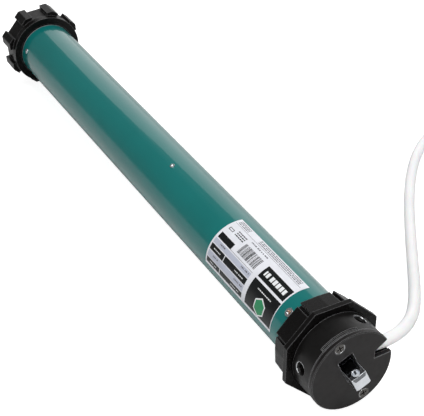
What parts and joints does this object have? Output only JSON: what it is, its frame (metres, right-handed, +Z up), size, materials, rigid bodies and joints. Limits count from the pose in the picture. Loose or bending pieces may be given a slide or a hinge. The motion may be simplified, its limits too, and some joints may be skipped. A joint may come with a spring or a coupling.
{
  "type": "roller shutter motor",
  "caption": "Tubular roller shutter motor: fixed head with square pin, free octagon crown, geared drive wheel and supply lead.",
  "frame": {"origin": "on the floor under the middle of the motor, lead left out", "axes": "+X along the motor towards the square pin, +Z up"},
  "size_m": [0.4856, 0.3568, 0.0616],
  "materials": {
    "head_black": "satin moulded black",
    "plate_black": "satin black",
    "pin_zinc": "polished zinc plate",
    "black_screw": "blackened steel",
    "tube_teal": "gloss teal paint",
    "label_white": "printed film",
    "screw_steel": "zinc plated",
    "wheel_black": "glass filled nylon",
    "crown_black": "glass filled nylon",
    "lead_white": "white PVC",
    "core_pvc": "coloured PVC cores",
    "ferrule_tin": "tinned copper",
    "tie_nylon": "natural nylon",
    "inner_nylon": "natural nylon",
    "brass": "turned brass",
    "steel": "ground steel",
    "lamination": "stacked electrical steel",
    "copper_wire": "enamelled copper",
    "aluminium": "die cast",
    "capacitor_white": "plastic can",
    "wire_pvc": "PVC insulation"
  },
  "bodies": {
    "motor_body": {"end_plate": "plate_black", "plate_screws": "black_screw", "square_pin": "pin_zinc", "head_housing": "head_black", "cable_gland": "head_black", "limit_chassis": "inner_nylon", "cam_axle": "steel", "microswitch_up": "head_black", "microswitch_down": "head_black", "motor_tube": "tube_teal", "rating_label": "label_white", "tube_screws": "screw_steel", "capacitor": "capacitor_white", "front_end_shield": "aluminium", "rear_end_shield": "aluminium", "front_bearing": "steel", "rear_bearing": "steel", "stator_core": "lamination", "stator_windings": "copper_wire", "brake_housing": "steel", "brake_coil": "copper_wire", "brake_spring": "steel", "wiring_harness": "wire_pvc", "gearbox_ring": "aluminium", "gearbox_front_cap": "aluminium", "gearbox_rear_cap": "aluminium", "output_bush": "brass", "cable_lead": "lead_white", "cable_coil": "lead_white", "cable_tail": "lead_white", "lead_cores": "core_pvc", "core_ferrules": "ferrule_tin", "cable_tie": "tie_nylon"},
    "crown": {"crown_ring": "crown_black"},
    "limit_shaft": {"limit_pinion_shaft": "inner_nylon"},
    "limit_cam_a": {"limit_cam_up": "inner_nylon"},
    "limit_cam_b": {"limit_cam_down": "inner_nylon"},
    "lever_a": {"switch_lever_up": "steel"},
    "lever_b": {"switch_lever_down": "steel"},
    "adjuster_a": {"adjuster_up": "brass"},
    "adjuster_b": {"adjuster_down": "brass"},
    "rotor": {"rotor_core": "lamination", "rotor_shaft": "steel", "brake_disc": "steel", "sun_gear": "steel"},
    "armature": {"brake_armature": "steel"},
    "first_carrier": {"carrier_1": "steel"},
    "second_carrier": {"carrier_2": "steel"},
    "output": {"output_shaft": "steel", "drive_wheel": "wheel_black", "drive_clip": "steel"},
    "planet_1a_body": {"planet_1a": "inner_nylon"},
    "planet_1b_body": {"planet_1b": "inner_nylon"},
    "planet_1c_body": {"planet_1c": "inner_nylon"},
    "planet_2a_body": {"planet_2a": "steel"},
    "planet_2b_body": {"planet_2b": "steel"},
    "planet_2c_body": {"planet_2c": "steel"},
    "planet_3a_body": {"planet_3a": "steel"},
    "planet_3b_body": {"planet_3b": "steel"},
    "planet_3c_body": {"planet_3c": "steel"}
  },
  "joints": [
    {"name": "drive_spin", "type": "hinge", "parent": "motor_body", "child": "output", "pos_m": [-0.20775, 0, 0.0308], "axis": [1, 0, 0], "continuous": true},
    {"name": "second_carrier_spin", "type": "hinge", "parent": "motor_body", "child": "second_carrier", "pos_m": [-0.12075, 0, 0.0308], "axis": [1, 0, 0], "continuous": true},
    {"name": "first_carrier_spin", "type": "hinge", "parent": "motor_body", "child": "first_carrier", "pos_m": [-0.09675, 0, 0.0308], "axis": [1, 0, 0], "continuous": true},
    {"name": "rotor_spin", "type": "hinge", "parent": "motor_body", "child": "rotor", "pos_m": [0.02225, 0, 0.0308], "axis": [1, 0, 0], "continuous": true},
    {"name": "planet_1a_spin", "type": "hinge", "parent": "first_carrier", "child": "planet_1a_body", "pos_m": [-0.08775, 0.01125, 0.0308], "axis": [1, 0, 0], "continuous": true},
    {"name": "planet_1b_spin", "type": "hinge", "parent": "first_carrier", "child": "planet_1b_body", "pos_m": [-0.08775, -0.00562, 0.04054], "axis": [1, 0, 0], "continuous": true},
    {"name": "planet_1c_spin", "type": "hinge", "parent": "first_carrier", "child": "planet_1c_body", "pos_m": [-0.08775, -0.00562, 0.02106], "axis": [1, 0, 0], "continuous": true},
    {"name": "planet_2a_spin", "type": "hinge", "parent": "second_carrier", "child": "planet_2a_body", "pos_m": [-0.10875, 0.01125, 0.0308], "axis": [1, 0, 0], "continuous": true},
    {"name": "planet_2b_spin", "type": "hinge", "parent": "second_carrier", "child": "planet_2b_body", "pos_m": [-0.10875, -0.00562, 0.04054], "axis": [1, 0, 0], "continuous": true},
    {"name": "planet_2c_spin", "type": "hinge", "parent": "second_carrier", "child": "planet_2c_body", "pos_m": [-0.10875, -0.00562, 0.02106], "axis": [1, 0, 0], "continuous": true},
    {"name": "planet_3a_spin", "type": "hinge", "parent": "output", "child": "planet_3a_body", "pos_m": [-0.13775, 0.01238, 0.0308], "axis": [1, 0, 0], "continuous": true},
    {"name": "planet_3b_spin", "type": "hinge", "parent": "output", "child": "planet_3b_body", "pos_m": [-0.13775, -0.00619, 0.04152], "axis": [1, 0, 0], "continuous": true},
    {"name": "planet_3c_spin", "type": "hinge", "parent": "output", "child": "planet_3c_body", "pos_m": [-0.13775, -0.00619, 0.02008], "axis": [1, 0, 0], "continuous": true},
    {"name": "crown_spin", "type": "hinge", "parent": "motor_body", "child": "crown", "pos_m": [0.20225, 0, 0.0308], "axis": [1, 0, 0], "continuous": true},
    {"name": "limit_shaft_spin", "type": "hinge", "parent": "motor_body", "child": "limit_shaft", "pos_m": [0.19225, 0, 0.0158], "axis": [1, 0, 0], "continuous": true},
    {"name": "limit_cam_a_spin", "type": "hinge", "parent": "motor_body", "child": "limit_cam_a", "pos_m": [0.19225, 0, 0.0308], "axis": [1, 0, 0], "continuous": true},
    {"name": "lever_a_tilt", "type": "hinge", "parent": "motor_body", "child": "lever_a", "pos_m": [0.19175, -0.0046, 0.0436], "axis": [1, 0, 0], "range_deg": [0, 1.5], "stiffness_Nm_per_rad": 0.001},
    {"name": "limit_cam_b_spin", "type": "hinge", "parent": "motor_body", "child": "limit_cam_b", "pos_m": [0.18225, 0, 0.0308], "axis": [1, 0, 0], "continuous": true},
    {"name": "lever_b_tilt", "type": "hinge", "parent": "motor_body", "child": "lever_b", "pos_m": [0.18175, -0.0046, 0.0436], "axis": [1, 0, 0], "range_deg": [0, 1.5], "stiffness_Nm_per_rad": 0.001},
    {"name": "adjuster_a_turn", "type": "hinge", "parent": "motor_body", "child": "adjuster_a", "pos_m": [0.21905, 0.00986, 0.04934], "axis": [0, 0.4695, 0.8829], "continuous": true},
    {"name": "adjuster_b_turn", "type": "hinge", "parent": "motor_body", "child": "adjuster_b", "pos_m": [0.21905, -0.02084, 0.03336], "axis": [0, -0.9925, 0.1219], "continuous": true},
    {"name": "armature_slide", "type": "slide", "parent": "motor_body", "child": "armature", "axis": [-1, 0, 0], "range_m": [0, 0.0008], "stiffness_N_per_m": 500, "springref_m": -0.004}
  ],
  "couplings": [
    {"joint": "second_carrier_spin", "follows": "drive_spin", "ratio": 3.6667},
    {"joint": "first_carrier_spin", "follows": "drive_spin", "ratio": 18.333},
    {"joint": "rotor_spin", "follows": "drive_spin", "ratio": 91.667},
    {"joint": "planet_1a_spin", "follows": "drive_spin", "ratio": -48.889},
    {"joint": "planet_1b_spin", "follows": "drive_spin", "ratio": -48.889},
    {"joint": "planet_1c_spin", "follows": "drive_spin", "ratio": -48.889},
    {"joint": "planet_2a_spin", "follows": "drive_spin", "ratio": -9.7778},
    {"joint": "planet_2b_spin", "follows": "drive_spin", "ratio": -9.7778},
    {"joint": "planet_2c_spin", "follows": "drive_spin", "ratio": -9.7778},
    {"joint": "planet_3a_spin", "follows": "drive_spin", "ratio": -3.2},
    {"joint": "planet_3b_spin", "follows": "drive_spin", "ratio": -3.2},
    {"joint": "planet_3c_spin", "follows": "drive_spin", "ratio": -3.2},
    {"joint": "limit_shaft_spin", "follows": "crown_spin", "ratio": 2.6667},
    {"joint": "limit_cam_a_spin", "follows": "crown_spin", "ratio": -0.66667},
    {"joint": "limit_cam_b_spin", "follows": "crown_spin", "ratio": -0.66667}
  ]
}
